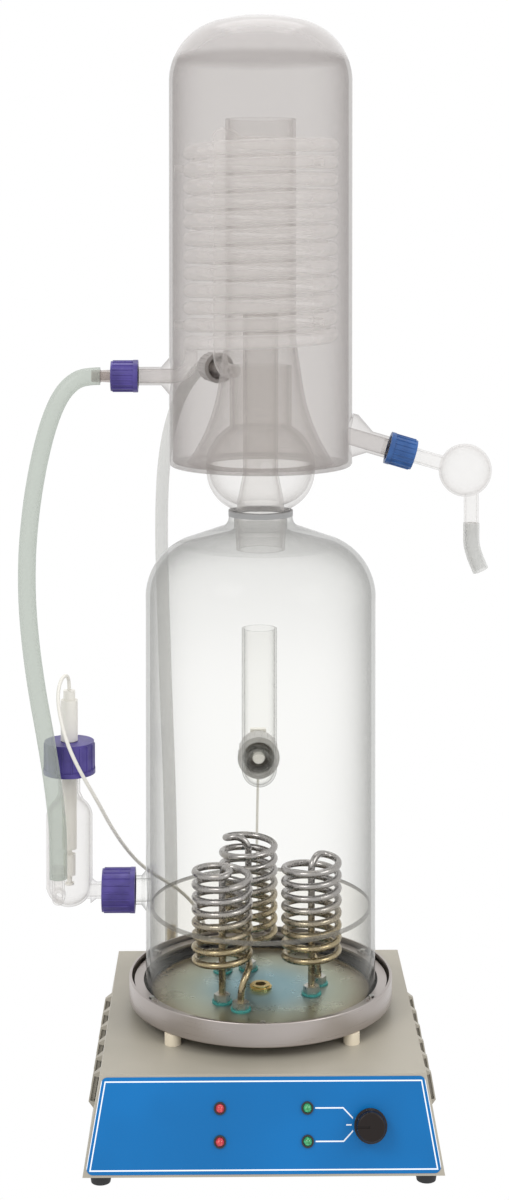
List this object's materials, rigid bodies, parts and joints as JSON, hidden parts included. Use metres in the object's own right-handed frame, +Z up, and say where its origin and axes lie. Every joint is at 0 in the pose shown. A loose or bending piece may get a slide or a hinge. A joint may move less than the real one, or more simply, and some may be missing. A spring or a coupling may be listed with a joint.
{
  "type": "glass water distiller",
  "caption": "Laboratory still with a louvred base and control panel, a glass boiler bell with immersion heaters, a level vessel and a coil condenser above.",
  "frame": {"origin": "under the middle of the object, on the bench", "axes": "+X to the right, -Y to the front with the control panel, +Z up"},
  "size_m": [0.3591, 0.3042, 0.8255],
  "materials": {
    "paint": "satin beige-grey paint",
    "steel": "satin stainless steel",
    "heater_steel": "satin steel tube",
    "zinc": "zinc plated",
    "glass": "clear borosilicate glass",
    "purple": "purple-blue moulded plastic",
    "blue": "dark blue moulded plastic",
    "label": "blue printed film",
    "red": "red lens",
    "green": "green lens",
    "black": "black plastic",
    "rubber": "black rubber",
    "silicone": "pale silicone",
    "pvc": "clear soft hose",
    "white": "white plastic",
    "cream": "cream plastic spacer",
    "brass": "turned brass",
    "washer": "teal sealing washer",
    "board": "green board",
    "clear": "clear plastic"
  },
  "bodies": {
    "distiller": {"housing_shell": "paint", "base_plate": "paint", "rubber_feet": "rubber", "base_plate_screws": "zinc", "lamp_bezels": "black", "red_lamps": "red", "green_lamps": "green", "control_panel_label": "label", "control_board": "board", "selector_switch": "black", "switch_nut": "zinc", "power_contactor": "black", "terminal_block": "white", "cable_gland": "black", "solenoid_valve": "black", "water_inlet_barb": "brass", "valve_outlet_elbow": "brass", "clamp_tray": "steel", "standoff_spacers": "cream", "spacer_screws": "zinc", "boiler_plate": "steel", "boiler_gasket": "rubber", "retaining_ring": "steel", "retaining_screws": "zinc", "drain_bush": "brass", "thermal_cutout": "zinc", "heater_right": "heater_steel", "heater_rear": "heater_steel", "heater_left": "heater_steel", "heater_nuts": "zinc", "heater_washers": "washer", "boiler_bell": "glass", "neck_seal": "rubber", "vapour_sensor": "white", "level_vessel": "glass", "level_sensor": "white", "condenser_jacket": "glass", "condenser_riser": "glass", "splash_trap": "glass", "trap_inner_tube": "glass", "condenser_coil": "glass", "coil_spacers": "glass", "cable_grommets": "rubber", "cooling_hose": "pvc", "supply_hose": "pvc", "sensor_cable": "white", "rear_sensor_cable": "white", "port_seals": "silicone", "hose_nozzles": "clear"},
    "knob": {"selector_knob": "black", "selector_shaft": "zinc"},
    "side_cap": {"side_port_cap": "purple"},
    "level_cap": {"vessel_cap": "purple"},
    "rear_cap": {"rear_port_cap": "purple"},
    "cooling_cap": {"jacket_left_cap": "purple"},
    "supply_cap": {"jacket_rear_cap": "purple"},
    "drip_cap": {"outlet_cap": "blue"},
    "drip_glass": {"outlet_bulb": "glass", "distillate_tube": "pvc"},
    "float": {"level_float": "white"}
  },
  "joints": [
    {"name": "knob_turn", "type": "hinge", "parent": "distiller", "child": "knob", "pos_m": [0.06875, -0.14242, 0.04253], "axis": [0, -0.9531, 0.3026], "range_deg": [-45, 45]},
    {"name": "side_cap_turn", "type": "hinge", "parent": "distiller", "child": "side_cap", "pos_m": [-0.11525, 0.00011, 0.16], "axis": [-1, 0, 0], "range_deg": [0, 360]},
    {"name": "level_cap_turn", "type": "hinge", "parent": "distiller", "child": "level_cap", "pos_m": [-0.15085, 0.00011, 0.26], "axis": [0, 0, 1], "range_deg": [0, 360]},
    {"name": "rear_cap_turn", "type": "hinge", "parent": "distiller", "child": "rear_cap", "pos_m": [-0.00525, 0.11011, 0.2345], "axis": [0, 1, 0], "range_deg": [0, 360]},
    {"name": "cooling_cap_turn", "type": "hinge", "parent": "distiller", "child": "cooling_cap", "pos_m": [-0.11025, 0.00011, 0.552], "axis": [-1, 0, 0], "range_deg": [0, 360]},
    {"name": "supply_cap_turn", "type": "hinge", "parent": "distiller", "child": "supply_cap", "pos_m": [-0.04116, 0.09878, 0.552], "axis": [-0.342, 0.9397, 0], "range_deg": [0, 360]},
    {"name": "drip_cap_turn", "type": "hinge", "parent": "distiller", "child": "drip_cap", "pos_m": [0.1026, 0.00011, 0.49424], "axis": [0.9588, 0, -0.284], "range_deg": [0, 360]},
    {"name": "outlet_swivel", "type": "hinge", "parent": "distiller", "child": "drip_glass", "pos_m": [0.12178, 0.00011, 0.48856], "axis": [0.9588, 0, -0.284], "range_deg": [-90, 90]},
    {"name": "float_slide", "type": "slide", "parent": "distiller", "child": "float", "axis": [0, 0, 1], "range_m": [-0.0055, 0.0035]}
  ]
}
